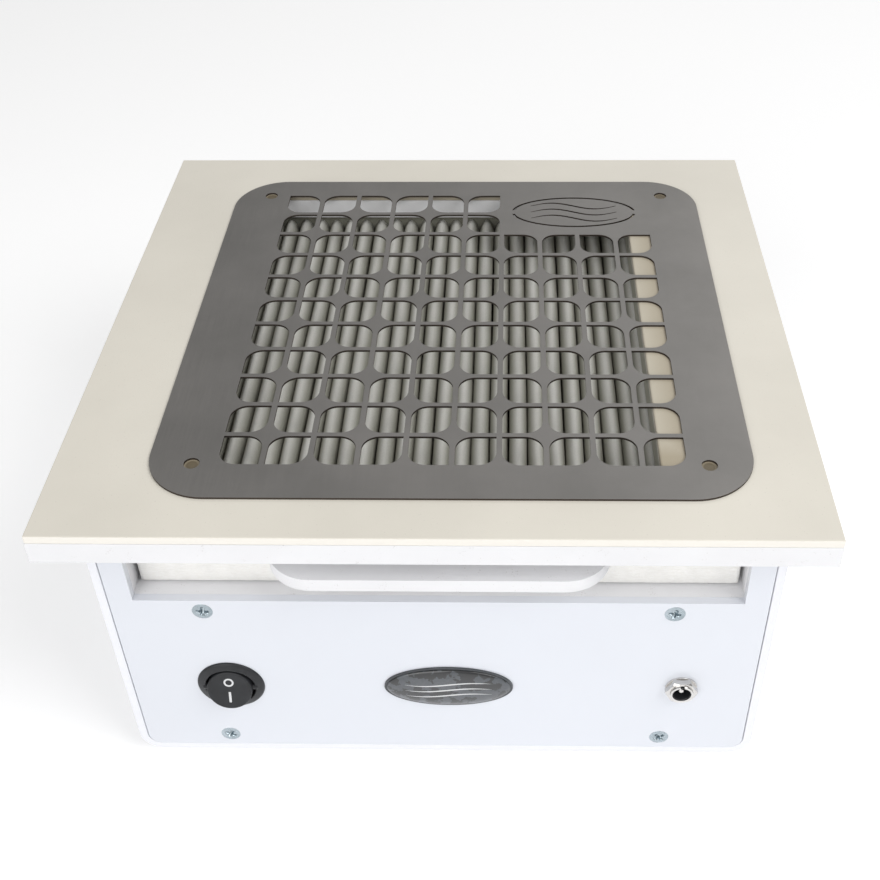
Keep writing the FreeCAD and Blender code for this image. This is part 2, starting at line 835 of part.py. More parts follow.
def blade_face(z):
    """Backward-curved blade outline: an arc strip from the inner to the outer radius."""
    def spot(radius, turn):
        angle = math.radians(turn)
        return vec(radius * math.cos(angle), radius * math.sin(angle), z)
    outer = impeller_radius - blade_tip_inset
    middle = 0.5 * (blade_inner_radius + outer)
    half = math.degrees(blade_thick / 2.0 / blade_inner_radius)
    tip = math.degrees(blade_thick / 2.0 / outer)
    mid_half = blade_belly * math.degrees(blade_thick / 2.0 / middle)
    mid_turn = -blade_mid_share * blade_sweep
    root_one, root_two = spot(blade_inner_radius, half), spot(blade_inner_radius, -half)
    tip_one, tip_two = spot(outer, -blade_sweep + tip), spot(outer, -blade_sweep - tip)
    return face_of([Part.Arc(root_one, spot(middle, mid_turn + mid_half), tip_one).toShape(),
                    Part.LineSegment(tip_one, tip_two).toShape(),
                    Part.Arc(tip_two, spot(middle, mid_turn - mid_half), root_two).toShape(),
                    Part.LineSegment(root_two, root_one).toShape()])


def make_impeller():
    low = impeller_floor
    high = impeller_top
    back = tube(impeller_radius, can_radius, vec(0, 0, low), impeller_plate, Z_AXIS)
    shroud = tube(impeller_radius, eye_radius, vec(0, 0, high - impeller_plate), impeller_plate, Z_AXIS)
    wheel = back.fuse(shroud)
    z0 = low + 0.5 * impeller_plate
    height = high - low - 1.5 * impeller_plate
    for index in range(blade_count):
        blade = blade_face(z0).extrude(vec(0, 0, height))
        blade.rotate(vec(0, 0, 0), Z_AXIS, 360.0 * index / blade_count)
        wheel = wheel.fuse(blade)
    wheel.translate(vec(0, fan_y, 0))
    return one_solid(wheel)


def make_rotor_can():
    can = rod(can_radius, vec(0, fan_y, can_floor), can_height, Z_AXIS)
    can = can.cut(rod(can_radius - can_wall, vec(0, fan_y, can_floor), can_height - can_wall, Z_AXIS))
    return can.cut(rod(shaft_radius, vec(0, fan_y, can_floor), can_height, Z_AXIS))


def make_rotor_magnets():
    outer = can_radius - can_wall
    return tube(outer, outer - magnet_thick, vec(0, fan_y, can_floor + magnet_rise), magnet_height, Z_AXIS)


def tube_top():
    return can_top - can_wall - hub_tube_gap


def make_motor_shaft():
    z0 = motor_floor + motor_flange_thick + shaft_floor_gap
    return rod(shaft_radius, vec(0, fan_y, z0), can_top - z0, Z_AXIS)


def make_motor_base():
    body = rod(motor_flange_radius, vec(0, fan_y, motor_floor), motor_flange_thick, Z_AXIS)
    body = body.fuse(rod(hub_tube_radius, vec(0, fan_y, motor_floor), tube_top() - motor_floor, Z_AXIS))
    body = body.cut(rod(bearing_radius, vec(0, fan_y, motor_floor + motor_flange_thick),
                        tube_top() - motor_floor, Z_AXIS))
    for point in motor_screw_points():
        body = body.cut(screw_hole(point, -Z_AXIS, motor_screw_length))
    return body


def make_motor_screws():
    return group([screw(p, -Z_AXIS, motor_screw_length) for p in motor_screw_points()])


def make_bearing(z0):
    return tube(bearing_radius, shaft_radius + shaft_gap, vec(0, fan_y, z0), bearing_height, Z_AXIS)


def stator_floor():
    return can_floor + stator_rise


def make_stator_core():
    z0 = stator_floor()
    core = tube(stator_yoke, hub_tube_radius, vec(0, 0, z0), stator_height, Z_AXIS)
    rim = tube(stator_radius, stator_radius - tooth_tip, vec(0, 0, z0), stator_height, Z_AXIS)
    for index in range(stator_slots):
        tooth = block(stator_yoke - 0.5, stator_radius - 0.5 * tooth_tip, -tooth_width / 2.0,
                      tooth_width / 2.0, z0, z0 + stator_height)
        gap = block(stator_radius - 2.0 * tooth_tip, stator_radius + 1.0, -tooth_gap / 2.0,
                    tooth_gap / 2.0, z0, z0 + stator_height)
        angle = 360.0 * index / stator_slots
        tooth.rotate(vec(0, 0, 0), Z_AXIS, angle)
        gap.rotate(vec(0, 0, 0), Z_AXIS, angle + 180.0 / stator_slots)
        core = core.fuse(tooth)
        rim = rim.cut(gap)
    core = core.fuse(rim)
    core.translate(vec(0, fan_y, 0))
    return one_solid(core)


def make_stator_windings():
    z0 = stator_floor()
    coils = []
    for index in range(stator_slots):
        x0 = stator_yoke + winding_end_gap
        x1 = stator_radius - tooth_tip - winding_end_gap
        pad = winding_pad
        coil = block(x0, x1, -tooth_width / 2.0 - pad, tooth_width / 2.0 + pad,
                     z0 - pad, z0 + stator_height + pad)
        coil = coil.cut(block(x0, x1, -tooth_width / 2.0, tooth_width / 2.0, z0, z0 + stator_height))
        coil.rotate(vec(0, 0, 0), Z_AXIS, 360.0 * index / stator_slots)
        coil.translate(vec(0, fan_y, 0))
        coils.append(coil)
    return group(coils)


# ---- wiring

def lead(points):
    """Insulated wire: straight runs joined by tangent arcs."""
    edges = []
    start = points[0]
    for index in range(1, len(points) - 1):
        corner = points[index]
        u = (points[index - 1] - corner).normalize()
        w = (points[index + 1] - corner).normalize()
        half = 0.5 * u.getAngle(w)
        reach = lead_bend / math.tan(half)
        a = corner + u * reach
        b = corner + w * reach
        middle = corner + (u + w).normalize() * (lead_bend / math.sin(half) - lead_bend)
        edges.append(Part.LineSegment(start, a).toShape())
        edges.append(Part.Arc(a, middle, b).toShape())
        start = b
    edges.append(Part.LineSegment(start, points[-1]).toShape())
    direction = (points[1] - points[0]).normalize()
    profile = Part.Wire([Part.Circle(points[0], direction, lead_radius).toShape()])
    return Part.Wire(edges).makePipeShell([profile], True, False)


def make_lead_feed():
    end = switch_terminal_points()[1]
    y1 = jack_rear_y() + lug_length
    y2 = end.y + terminal_length
    run_y = max(y1, y2) + 2.0 * lead_bend
    drop = 2.0 * lead_bend + 2.0
    return lead([vec(jack_x - lug_offset, y1, fitting_z), vec(jack_x - lug_offset, run_y, fitting_z),
                 vec(jack_x - lug_offset, run_y, fitting_z - drop), vec(end.x, run_y, fitting_z - drop),
                 vec(end.x, run_y, fitting_z), vec(end.x, y2, fitting_z)])


def floor_lead(x, y, side):
    """Wire that drops to the base board and runs back to the motor flange."""
    z = base_top + lead_radius + 0.1
    run_y = y + 2.0 * lead_bend
    x_end = side * (motor_flange_radius + 0.3)
    return lead([vec(x, y, fitting_z), vec(x, run_y, fitting_z), vec(x, run_y, z),
                 vec(x, fan_y, z), vec(x_end, fan_y, z)])


def make_lead_switched():
    start = switch_terminal_points()[0]
    return floor_lead(start.x, start.y + terminal_length, -1.0)


def make_lead_return():
    return floor_lead(jack_x + lug_offset, jack_rear_y() + lug_length, 1.0)


def make_all():
    return {
        "grille": make_grille(),
        "top_skin": make_top_skin(),
        "top_core": make_top_core(),
        "top_screws": make_top_screws(),
        "case_shell": make_case_shell(),
        "front_panel": make_front_panel(),
        "rear_panel": make_rear_panel(),
        "front_screws": make_front_screws(),
        "rear_screws": make_rear_screws(),
        "base_board": make_base_board(),
        "shelf_board": make_shelf_board(),
        "rail_left": make_rail(-1.0),
        "rail_right": make_rail(1.0),
        "back_stop": make_back_stop(),
        "feet": make_feet(),
        "foot_screws": make_foot_screws(),
        "filter_frame": make_filter_frame(),
        "filter_media": make_filter_media(),
        "filter_tab": make_filter_tab(),
        "switch_body": make_switch_body(),
        "switch_rocker": make_switch_rocker(),
        "switch_marks": make_switch_marks(),
        "switch_terminals": make_switch_terminals(),
        "badge_base": make_badge_base(),
        "badge_dome": make_badge_dome(),
        "jack_body": make_jack_body(),
        "jack_liner": make_jack_liner(),
        "jack_pin": make_jack_pin(),
        "jack_washer": make_jack_washer(),
        "jack_nut": make_jack_nut(),
        "jack_lugs": make_jack_lugs(),
        "inlet_ring": make_inlet_ring(),
        "impeller": make_impeller(),
        "rotor_can": make_rotor_can(),
        "rotor_magnets": make_rotor_magnets(),
        "motor_shaft": make_motor_shaft(),
        "motor_base": make_motor_base(),
        "motor_screws": make_motor_screws(),
        "bearing_lower": make_bearing(motor_floor + motor_flange_thick),
        "bearing_upper": make_bearing(tube_top() - bearing_height),
        "stator_core": make_stator_core(),
        "stator_windings": make_stator_windings(),
        "lead_feed": make_lead_feed(),
        "lead_switched": make_lead_switched(),
        "lead_return": make_lead_return(),
    }


os.makedirs("parts", exist_ok=True)
for name, shape in make_all().items():
    shape.exportStep("parts/" + name + ".step")
    print(name, "solids", len(shape.Solids), "volume", round(shape.Volume, 1), "valid", shape.isValid())
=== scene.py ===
import bpy
import bmesh
import json
import math
import numpy as np
from mathutils import Matrix, Vector


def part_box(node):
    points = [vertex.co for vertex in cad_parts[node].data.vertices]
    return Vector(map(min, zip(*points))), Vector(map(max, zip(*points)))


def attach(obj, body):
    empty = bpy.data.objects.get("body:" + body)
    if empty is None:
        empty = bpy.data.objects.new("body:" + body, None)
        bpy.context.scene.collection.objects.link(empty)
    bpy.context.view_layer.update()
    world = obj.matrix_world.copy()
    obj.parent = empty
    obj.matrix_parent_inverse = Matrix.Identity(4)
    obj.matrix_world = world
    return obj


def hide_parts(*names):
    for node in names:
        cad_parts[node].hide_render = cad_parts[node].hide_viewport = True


# Desk-top nail dust collector: looks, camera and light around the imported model.
# Everything is in metres in the model's own frame; mm turns millimetres into metres.
mm = 0.001
perCm = 100.0    # turns metres into centimetres

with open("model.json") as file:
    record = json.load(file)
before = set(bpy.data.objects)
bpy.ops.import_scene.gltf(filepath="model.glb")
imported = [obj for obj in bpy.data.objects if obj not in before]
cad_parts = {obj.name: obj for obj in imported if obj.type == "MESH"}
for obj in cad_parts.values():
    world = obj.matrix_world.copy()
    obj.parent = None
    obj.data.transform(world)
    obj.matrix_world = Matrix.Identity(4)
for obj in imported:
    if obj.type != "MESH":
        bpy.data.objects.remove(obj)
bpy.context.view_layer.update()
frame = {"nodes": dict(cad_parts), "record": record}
nodes = frame["nodes"]
joints = {joint["name"]: joint for joint in frame["record"]["behaviour"]["joints"]}
print("stage: model loaded,", len(nodes), "parts")


# helpers for meshes

merging = {
    "points": 1e-7,       # m, closer points of a made mesh are one
    "parts": 0.002,       # mm, the same for the plain parts
    "sharp": 40.0,        # degrees, edges turning more than this are broken
}


def gridFaces(countU, countV, closeU, closeV, start=0):
    # quads joining each grid point to its next neighbours in u and v
    iu = np.arange(countU if closeU else countU - 1)
    iv = np.arange(countV if closeV else countV - 1)
    a, b = np.meshgrid(iu, iv, indexing="ij")
    an, bn = (a + 1) % countU, (b + 1) % countV
    quads = np.stack([a * countV + b, an * countV + b, an * countV + bn, a * countV + bn], axis=-1)
    return quads.reshape(-1, 4) + start


def gridObject(name, grids, body, closeU=False, closeV=False, smooth=True):
    # one mesh from several arrays points[u, v] = (x, y, z), in metres; points that meet are merged, so
    # poles close
    verts, quads, start = [], [], 0
    for points in grids:
        countU, countV = points.shape[:2]
        verts.append(points.reshape(-1, 3))
        quads.append(gridFaces(countU, countV, closeU, closeV, start))
        start += countU * countV
    verts, quads = np.concatenate(verts), np.concatenate(quads)
    mesh = bpy.data.meshes.new(name)
    mesh.vertices.add(len(verts))
    mesh.vertices.foreach_set("co", verts.astype(np.float32).ravel())
    mesh.loops.add(quads.size)
    mesh.loops.foreach_set("vertex_index", quads.astype(np.int32).ravel())
    mesh.polygons.add(len(quads))
    mesh.polygons.foreach_set("loop_start", np.arange(0, quads.size, 4, dtype=np.int32))
    mesh.update(calc_edges=True)
    shell = bmesh.new()
    shell.from_mesh(mesh)
    bmesh.ops.remove_doubles(shell, verts=shell.verts, dist=merging["points"])
    bmesh.ops.recalc_face_normals(shell, faces=shell.faces)
    shell.to_mesh(mesh)
    shell.free()
    mesh.polygons.foreach_set("use_smooth", np.full(len(mesh.polygons), smooth))
    obj = bpy.data.objects.new(name, mesh)
    bpy.context.scene.collection.objects.link(obj)
    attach(obj, body)
    return obj


def turned(profile, centre, steps=96):
    # turned form about the Y direction: (x, y, z) = centre + (r cos t, y, r sin t) for each profile point
    # (r, y) in mm
    profile = np.asarray(profile, dtype=np.float64) * mm
    t = np.linspace(0.0, 2.0 * np.pi, steps, endpoint=False)
    r, y = profile[:, 0][:, None], profile[:, 1][:, None]
    return np.stack([centre[0] + r * np.cos(t), centre[1] + y + 0.0 * t, centre[2] + r * np.sin(t)], axis=-1)


def tiltAboutX(points, pivot, degrees):
    # turn about the X line through pivot: y' = y cos a - z sin a, z' = y sin a + z cos a
    a = math.radians(degrees)
    y, z = points[..., 1] - pivot[1], points[..., 2] - pivot[2]
    turnedY = y * math.cos(a) - z * math.sin(a) + pivot[1]
    return np.stack([points[..., 0], turnedY, y * math.sin(a) + z * math.cos(a) + pivot[2]], axis=-1)


def standsFor(piece, finish, slotName, *nodeNames):
    # give a piece its finish and let it stand for the model's plain nodes
    piece.data.materials.append(finish)
    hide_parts(*nodeNames)


def softenEdges(nodeName, width, segments=2):
    # break the sharp edges of a plain part by a real width in mm
    obj = nodes[nodeName]
    weld = obj.modifiers.new("weld", "WELD")
    weld.merge_threshold = merging["parts"] * mm
    bevel = obj.modifiers.new("brokenEdges", "BEVEL")
    bevel.limit_method, bevel.angle_limit = "ANGLE", math.radians(merging["sharp"])
    bevel.width, bevel.segments = width * mm, segments
    bevel.harden_normals = False


# helpers for materials

def hexColour(text):
    # sRGB hex to the linear value a shader wants
    channel = [int(text[i:i + 2], 16) / 255.0 for i in (1, 3, 5)]
    return tuple(c / 12.92 if c <= 0.04045 else ((c + 0.055) / 1.055) ** 2.4 for c in channel) + (1.0,)


def addNode(tree, kind, settings=None, **inputs):
    # one node with its settings and links: stops fills a colour ramp from (place, hex colour or grey)
    # pairs; each input, by name or as i and its number, takes a value, a node's output, or a node for its
    # first output in use
    node = tree.nodes.new("ShaderNode" + kind)
    for key, value in (settings or {}).items():
        if key != "stops":
            setattr(node, key, value)
            continue
        elements = node.color_ramp.elements
        for place, colour in value[2:]:
            elements.new(place)
        for element, (place, colour) in zip(elements, value):
            element.position = place
            element.color = hexColour(colour) if isinstance(colour, str) else (colour, colour, colour, 1.0)
    usable = [socket for socket in node.inputs if socket.enabled]
    for key, value in inputs.items():
        byName = [socket for socket in usable if socket.name == key.replace("_", " ")]
        socket = byName[0] if byName else usable[int(key[1:])]
        if isinstance(value, bpy.types.Node):
            value = next(output for output in value.outputs if output.enabled)
        if isinstance(value, bpy.types.NodeSocket):
            tree.links.new(value, socket)
        else:
            socket.default_value = value
    return node


# settings of the nodes that mix colours, and how far a normal leans along -X or -Y on a face turned that way
blend = {"data_type": "RGBA"}
multiply = {"data_type": "RGBA", "blend_type": "MULTIPLY"}
turnedAway = -0.5


def newMaterial(name):
    # an empty material, and the piece's own coordinates in metres
    material = bpy.data.materials.new(name)
    material.use_nodes = True
    tree = material.node_tree
    tree.nodes.clear()
    return material, tree, addNode(tree, "TexCoord").outputs["Object"]


# materials

well = {
    "right": 72.5,                # mm, right wall of the suction opening
    "wallBand": 1.0,              # mm, how near to that wall counts as on it
    "rearBand": 6.0,              # mm, how near to the filter's back counts as its rear bar
    "shadeSpotMiddle": (4.3, -0.5),     # mm, middle of the four painted shaded spots under the grille's holes
    "shadeSpotReach": (83.7, 86.45),    # mm, from there to each spot
}


def makeCreamAcrylic():
    # cast acrylic sheet with a matt face: warm cream, faint clouds and tiny specks; its sawn edges are
    # frosted paler; painted shade darkens the part that the grille covers, and four painted shaded spots
    # sit under the grille's holes
    material, tree, place = newMaterial("matteCreamAcrylicSheet")
    cloud = addNode(tree, "TexNoise", Vector=place, Scale=18.0, Detail=4.0)
    tone = addNode(tree, "ValToRGB", {"stops": [(0.3, "#E0DBCF"), (0.7, "#E8E3D7")]}, Fac=cloud)
    specks = addNode(tree, "TexVoronoi", Vector=place, Scale=520.0)
    dots = addNode(tree, "ValToRGB", {"stops": [(0.05, 0.88), (0.11, 1.0)]}, Fac=specks)
    face = addNode(tree, "Mix", multiply, Factor=1.0, A=tone, B=dots)
    low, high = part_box("grille")
    middle, half = (low + high) / 2.0, (high - low) / 2.0
    offset = addNode(tree, "VectorMath", {"operation": "SUBTRACT"}, i0=place, i1=tuple(middle))
    share = addNode(tree, "VectorMath", {"operation": "DIVIDE"}, i0=offset, i1=(half.x, half.y, 1.0))
    size = addNode(tree, "VectorMath", {"operation": "ABSOLUTE"}, i0=share)
    axis = addNode(tree, "SeparateXYZ", Vector=size)
    reach = addNode(tree, "Math", {"operation": "MAXIMUM"}, i0=axis.outputs["X"], i1=axis.outputs["Y"])
    # painted shade: the sheet is darkened under the grille, most near the grille's edges
    paintedShadeStops = [(0.70, "#DDD9D0"), (0.79, "#C2BAAB"), (0.90, "#BDB5A6"), (0.93, "#FFFFFF")]
    underGrilleShade = addNode(tree, "ValToRGB", {"stops": paintedShadeStops}, Fac=reach)
    geometry = addNode(tree, "NewGeometry")
    normal = addNode(tree, "SeparateXYZ", Vector=geometry.outputs["True Normal"])
    flat = addNode(tree, "ValToRGB", {"stops": [(0.3, 0.0), (0.8, 1.0)]}, Fac=normal.outputs["Z"])
    unshaded = addNode(tree, "Mix", blend, Factor=flat, A=hexColour("#E6E2DA"), B=face)
    shadedUnderGrille = addNode(tree, "Mix", multiply, Factor=1.0, A=unshaded, B=underGrilleShade)
    # painted shade: four darker spots under the grille's holes
    shadeSpotMiddle = tuple(value * mm for value in well["shadeSpotMiddle"]) + (0.0,)
    shadeSpotReach = tuple(value * mm for value in well["shadeSpotReach"]) + (0.0,)
    offset = addNode(tree, "VectorMath", {"operation": "SUBTRACT"}, i0=place, i1=shadeSpotMiddle)
    flatOffset = addNode(tree, "VectorMath", {"operation": "MULTIPLY"}, i0=offset, i1=(1.0, 1.0, 0.0))
    folded = addNode(tree, "VectorMath", {"operation": "ABSOLUTE"}, i0=flatOffset)
    away = addNode(tree, "VectorMath", {"operation": "DISTANCE"}, i0=folded, i1=shadeSpotReach)
    inCm = addNode(tree, "Math", {"operation": "MULTIPLY"}, i0=away.outputs["Value"], i1=perCm)
    holeShadeSpots = addNode(tree, "ValToRGB", {"stops": [(0.17, "#A09B8F"), (0.26, "#FFFFFF")]}, Fac=inCm)
    colour = addNode(tree, "Mix", multiply, Factor=1.0, A=shadedUnderGrille, B=holeShadeSpots)
    grain = addNode(tree, "TexNoise", Vector=place, Scale=2600.0, Detail=3.0)
    bump = addNode(tree, "Bump", Height=grain, Distance=0.00006)
    shader = addNode(tree, "BsdfPrincipled", Base_Color=colour, Roughness=0.46, IOR=1.49, Normal=bump)
    addNode(tree, "OutputMaterial", Surface=shader)
    return material


def makeFoamBoard():
    # foamed PVC board, sawn: chalky white with the open pores of the foam, drawn 0.8 mm apart to show;
    # the right wall of the suction opening is greyed by painted shade
    material, tree, place = newMaterial("sawnFoamedPvcBoard")
    cells = addNode(tree, "TexVoronoi", Vector=place, Scale=1200.0)
    pits = addNode(tree, "ValToRGB", {"stops": [(0.10, 0.0), (0.30, 1.0)]}, Fac=cells)
    patches = addNode(tree, "TexNoise", Vector=place, Scale=260.0, Detail=2.0)
    few = addNode(tree, "ValToRGB", {"stops": [(0.55, 1.0), (0.70, 0.0)]}, Fac=patches)
    pores = addNode(tree, "Mix", blend, Factor=few, A=pits, B=(1.0, 1.0, 1.0, 1.0))
    cloud = addNode(tree, "TexNoise", Vector=place, Scale=30.0, Detail=4.0)
    tone = addNode(tree, "ValToRGB", {"stops": [(0.3, "#DDDDDF"), (0.7, "#E3E3E5")]}, Fac=cloud)
    unshaded = addNode(tree, "Mix", blend, Factor=pores, A=hexColour("#C9C7C7"), B=tone)
    geometry = addNode(tree, "NewGeometry")
    normal = addNode(tree, "SeparateXYZ", Vector=geometry.outputs["True Normal"])
    # painted shade on the opening's right wall: faces turned to -X near its x are greyed
    sideways = addNode(tree, "Math", {"operation": "LESS_THAN"}, i0=normal.outputs["X"], i1=turnedAway)
    axis = addNode(tree, "SeparateXYZ", Vector=place)
    atWall = addNode(tree, "Math", {"operation": "COMPARE"}, i0=axis.outputs["X"], i1=well["right"] * mm,
                     i2=well["wallBand"] * mm)
    paintedShade = addNode(tree, "Math", {"operation": "MULTIPLY"}, i0=sideways, i1=atWall)
    colour = addNode(tree, "Mix", blend, Factor=paintedShade, A=unshaded, B=hexColour("#A9A89C"))
    bump = addNode(tree, "Bump", Height=pores, Distance=0.00008)
    shader = addNode(tree, "BsdfPrincipled", Base_Color=colour, Roughness=0.7, IOR=1.53, Normal=bump)
    addNode(tree, "OutputMaterial", Surface=shader)
    return material


def makeMatteStainless():
    # rolled stainless sheet, laser cut: even warm grey, cloudy where hands rest, with fine rolling
    # streaks along the sheet and browned cut edges
    material, tree, place = newMaterial("rolledStainlessSheet")
    stretched = addNode(tree, "Mapping", Vector=place, Scale=(1.0, 0.02, 1.0))
    streaks = addNode(tree, "TexNoise", Vector=stretched, Scale=2400.0, Detail=3.0)
    cloud = addNode(tree, "TexNoise", Vector=place, Scale=16.0, Detail=5.0, Roughness=0.6)
    tone = addNode(tree, "ValToRGB", {"stops": [(0.3, "#918F8C"), (0.7, "#A19E9B")]}, Fac=cloud)
    fine = addNode(tree, "ValToRGB", {"stops": [(0.35, 0.95), (0.65, 1.0)]}, Fac=streaks)
    face = addNode(tree, "Mix", multiply, Factor=1.0, A=tone, B=fine)
    normal = addNode(tree, "SeparateXYZ", Vector=addNode(tree, "NewGeometry").outputs["True Normal"])
    up = addNode(tree, "Math", {"operation": "ABSOLUTE"}, i0=normal.outputs["Z"])
    flat = addNode(tree, "ValToRGB", {"stops": [(0.4, 0.0), (0.8, 1.0)]}, Fac=up)
    colour = addNode(tree, "Mix", blend, Factor=flat, A=hexColour("#554E49"), B=face)
    sheen = addNode(tree, "ValToRGB", {"stops": [(0.3, 0.50), (0.7, 0.58)]}, Fac=streaks)
    bump = addNode(tree, "Bump", Height=streaks, Distance=0.00001)
    shader = addNode(tree, "BsdfPrincipled", Base_Color=colour, Metallic=1.0, Roughness=sheen, Normal=bump)
    addNode(tree, "OutputMaterial", Surface=shader)
    return material


def makeFilterPaper():
    # wet-laid filter paper, folded: off-white with short fibres, and painted shade that darkens it down the
    # folds
    material, tree, place = newMaterial("pleatedFilterPaper")
    fibres = addNode(tree, "TexNoise", Vector=place, Scale=1500.0, Detail=6.0, Roughness=0.7)
    tone = addNode(tree, "ValToRGB", {"stops": [(0.3, 0.90), (0.7, 1.0)]}, Fac=fibres)
    axis = addNode(tree, "SeparateXYZ", Vector=place)
    paperLow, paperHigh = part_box("filter_media")
    depth = addNode(tree, "Math", {"operation": "SUBTRACT"}, i0=paperHigh.z, i1=axis.outputs["Z"])
    down = addNode(tree, "Math", {"operation": "MULTIPLY"}, i0=depth, i1=perCm)
    # painted shade: grey that deepens with depth below the top of the paper
    paintedShadeStops = [(0.0, "#E2E1DB"), (0.10, "#CDCCC4"), (0.25, "#B0AFA4"), (0.5, "#A09F93")]
    foldShade = addNode(tree, "ValToRGB", {"stops": paintedShadeStops}, Fac=down)
    colour = addNode(tree, "Mix", multiply, Factor=1.0, A=foldShade, B=tone)
    bump = addNode(tree, "Bump", Height=fibres, Distance=0.00015)
    shader = addNode(tree, "BsdfPrincipled", Base_Color=colour, Roughness=0.92, IOR=1.5, Normal=bump)
    addNode(tree, "OutputMaterial", Surface=shader)
    return material


def makeFelt():
    # stiff needled polyester: warm white, matted short fibres; the inner face of the rear bar is
    # darkened grey by painted shade
    material, tree, place = newMaterial("needledPolyesterFelt")
    along = addNode(tree, "Mapping", Vector=place, Scale=(0.35, 1.0, 1.0))
    fibres = addNode(tree, "TexNoise", Vector=along, Scale=1300.0, Detail=7.0, Roughness=0.75)
    clumps = addNode(tree, "TexNoise", Vector=place, Scale=180.0, Detail=4.0)
    tone = addNode(tree, "ValToRGB", {"stops": [(0.3, "#EFEDE8"), (0.65, "#FAF9F6")]}, Fac=fibres)
    shade = addNode(tree, "ValToRGB", {"stops": [(0.3, 0.95), (0.6, 1.0)]}, Fac=clumps)
    unshaded = addNode(tree, "Mix", multiply, Factor=1.0, A=tone, B=shade)
    frameLow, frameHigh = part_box("filter_frame")
    innerY = frameHigh.y - well["rearBand"] * mm
    axis = addNode(tree, "SeparateXYZ", Vector=place)
    # painted shade on the rear bar's inner face, turned to -Y
    atBack = addNode(tree, "Math", {"operation": "GREATER_THAN"}, i0=axis.outputs["Y"], i1=innerY)
    geometry = addNode(tree, "NewGeometry")
    normal = addNode(tree, "SeparateXYZ", Vector=geometry.outputs["True Normal"])
    inward = addNode(tree, "Math", {"operation": "LESS_THAN"}, i0=normal.outputs["Y"], i1=turnedAway)
    paintedShade = addNode(tree, "Math", {"operation": "MULTIPLY"}, i0=atBack, i1=inward)
    colour = addNode(tree, "Mix", blend, Factor=paintedShade, A=unshaded, B=hexColour("#77766A"))
    bump = addNode(tree, "Bump", Height=fibres, Distance=0.0003)
    shader = addNode(tree, "BsdfPrincipled", Base_Color=colour, Roughness=0.95, IOR=1.5, Normal=bump,
                     Sheen_Weight=0.25, Sheen_Roughness=0.6)
    addNode(tree, "OutputMaterial", Surface=shader)
    return material


badgePrint = {
    "wave": 36.0,         # mm, length of one swing of the lines
    "swing": 0.9,         # mm, how far they bend
    "apart": 1.45,        # mm, half the distance between two lines
    "band": 4.0,          # mm, half height of the band with the lines in it
    "reach": 15.5,        # mm, half length of the lines
    "width": 0.32,        # mm, half width of a line at its middle
}


def makeBadgeResin(centre):
    # doming resin, poured over a printed grey film: darker blots, three light flowing lines with pointed
    # ends, wet gloss
    material, tree, place = newMaterial("domedResinBadge")
    local = addNode(tree, "VectorMath", {"operation": "SUBTRACT"}, i0=place, i1=centre)
    axis = addNode(tree, "SeparateXYZ", Vector=local)
    radiansPerMetre = 2.0 * math.pi / (badgePrint["wave"] * mm)
    swing = addNode(tree, "Math", {"operation": "MULTIPLY"}, i0=axis.outputs["X"], i1=radiansPerMetre)
    wave = addNode(tree, "Math", {"operation": "SINE"}, i0=swing)
    bent = addNode(tree, "Math", {"operation": "MULTIPLY_ADD"}, i0=wave, i1=-badgePrint["swing"] * mm,
                   i2=axis.outputs["Z"])
    rows = addNode(tree, "Math", {"operation": "PINGPONG"}, i0=bent, i1=badgePrint["apart"] * mm)
    height = addNode(tree, "Math", {"operation": "ABSOLUTE"}, i0=bent)
    inRows = addNode(tree, "Math", {"operation": "LESS_THAN"}, i0=height, i1=badgePrint["band"] * mm)
    reach = addNode(tree, "Math", {"operation": "DIVIDE"}, i0=axis.outputs["X"],
                    i1=badgePrint["reach"] * mm)
    square = addNode(tree, "Math", {"operation": "POWER"}, i0=reach, i1=2.0)
    lineWidth = badgePrint["width"] * mm
    width = addNode(tree, "Math", {"operation": "MULTIPLY_ADD"}, i0=square, i1=-lineWidth, i2=lineWidth)
    near = addNode(tree, "Math", {"operation": "LESS_THAN"}, i0=rows, i1=width)
    lines = addNode(tree, "Math", {"operation": "MULTIPLY"}, i0=near, i1=inRows)
    grain = addNode(tree, "TexNoise", Vector=place, Scale=900.0, Detail=3.0)
    film = addNode(tree, "ValToRGB", {"stops": [(0.3, "#404449"), (0.7, "#4A4E53")]}, Fac=grain)
    cloud = addNode(tree, "TexNoise", Vector=place, Scale=170.0, Detail=4.0, Roughness=0.55)
    blots = addNode(tree, "ValToRGB", {"stops": [(0.50, 0.0), (0.52, 1.0)]}, Fac=cloud)
    base = addNode(tree, "Mix", blend, Factor=blots, A=film, B=hexColour("#1D1E20"))
    colour = addNode(tree, "Mix", blend, Factor=lines, A=base, B=hexColour("#CFD0D1"))
    shader = addNode(tree, "BsdfPrincipled", Base_Color=colour, Roughness=0.35, IOR=1.5, Coat_Weight=0.7,
                     Coat_Roughness=0.03)
    addNode(tree, "OutputMaterial", Surface=shader)
    return material


cloudSpread = 12.0    # how much broader the clouds of tone are than the grain


def makeGrained(name, dark, light, roughLow, roughHigh, perMetre, depth, **shaderInputs):
    # a sheet, moulding, metal or coat whose tone, roughness and bump all follow one grain, per metre and
    # metres deep
    material, tree, place = newMaterial(name)
    grain = addNode(tree, "TexNoise", Vector=place, Scale=perMetre, Detail=3.0)
    cloud = addNode(tree, "TexNoise", Vector=place, Scale=perMetre / cloudSpread, Detail=4.0)
    tone = addNode(tree, "ValToRGB", {"stops": [(0.3, dark), (0.7, light)]}, Fac=cloud)
    sheen = addNode(tree, "ValToRGB", {"stops": [(0.3, roughLow), (0.7, roughHigh)]}, Fac=grain)
    bump = addNode(tree, "Bump", Height=grain, Distance=depth)
    shader = addNode(tree, "BsdfPrincipled", Base_Color=tone, Roughness=sheen, Normal=bump, **shaderInputs)
    addNode(tree, "OutputMaterial", Surface=shader)
    return material


